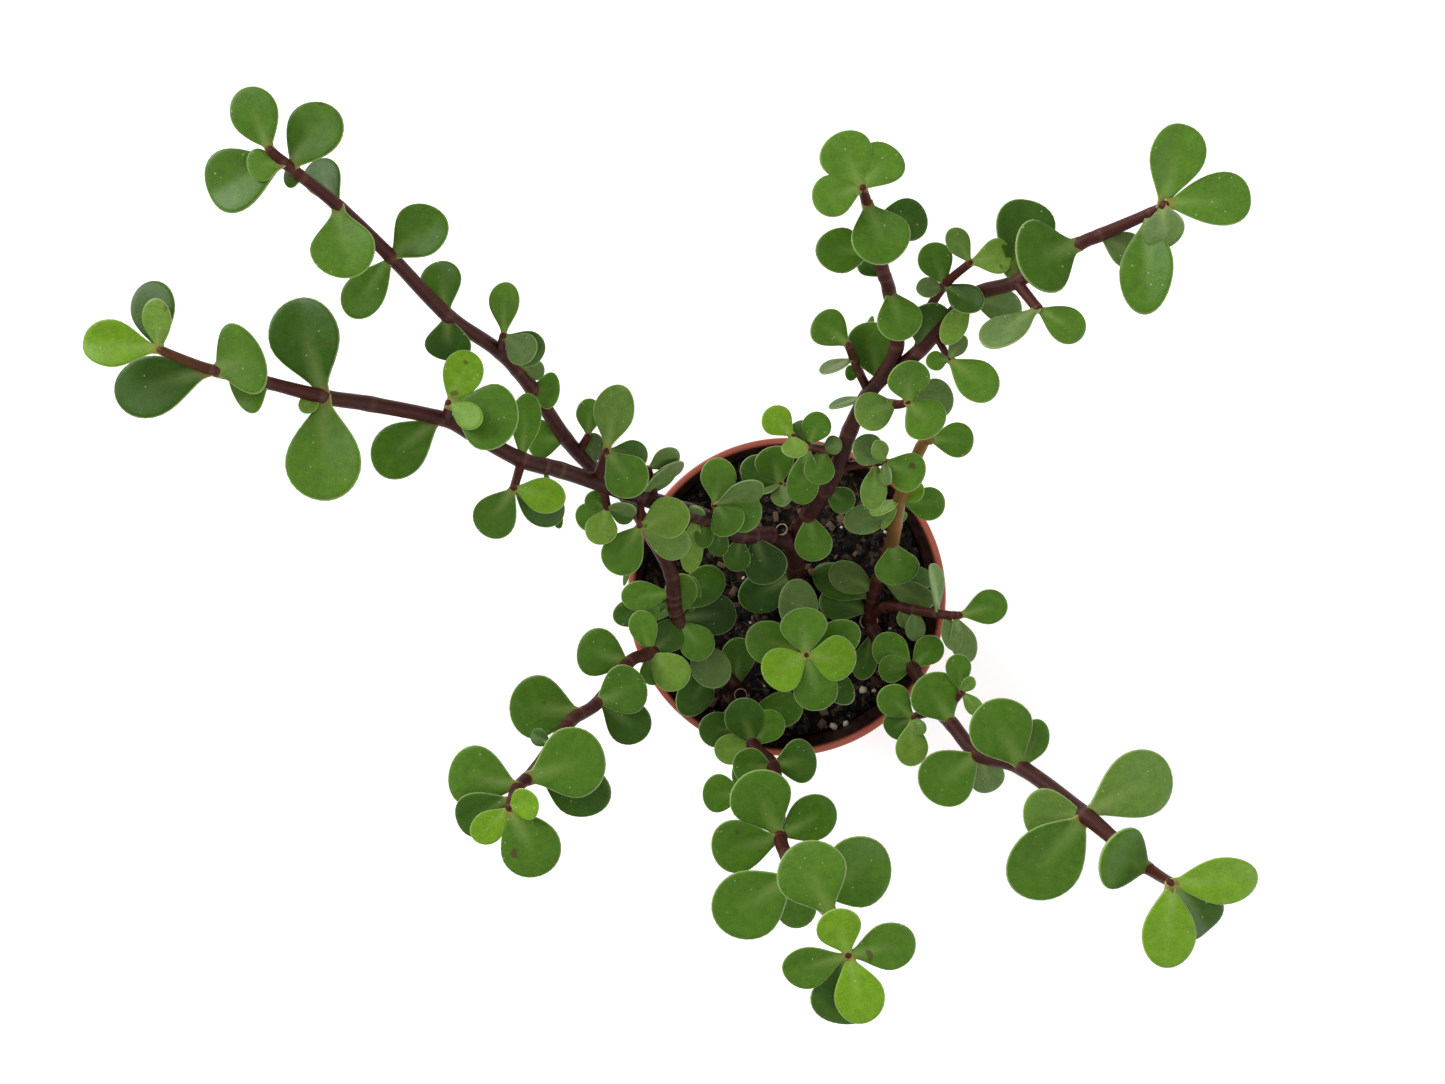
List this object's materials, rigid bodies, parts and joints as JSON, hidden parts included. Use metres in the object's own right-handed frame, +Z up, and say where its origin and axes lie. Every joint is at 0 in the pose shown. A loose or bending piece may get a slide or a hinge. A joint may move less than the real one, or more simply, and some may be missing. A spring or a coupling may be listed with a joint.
{
  "type": "potted elephant bush",
  "caption": "Young elephant bush with paired fleshy round leaves on arching and trailing purple-brown stems, rooted in peat in a round tapered plastic nursery pot.",
  "frame": {"origin": "middle of the flat underside of the pot", "axes": "+Z up along the pot's axis, and -X towards the long stems that reach over the left of the rim"},
  "size_m": [0.2642, 0.2145, 0.2213],
  "materials": {
    "pot_plastic": "satin, terracotta-coloured polypropylene",
    "peat": "matt, dark moist peat with chips and perlite",
    "leaf_and_stem": "satin, fleshy mid-green leaf; the stems are dark purple-brown"
  },
  "bodies": {
    "root": {"pot": "pot_plastic", "soil": "peat", "cutting_back": "leaf_and_stem", "cutting_left": "leaf_and_stem", "cutting_right": "leaf_and_stem", "cutting_centre": "leaf_and_stem"}
  },
  "joints": []
}
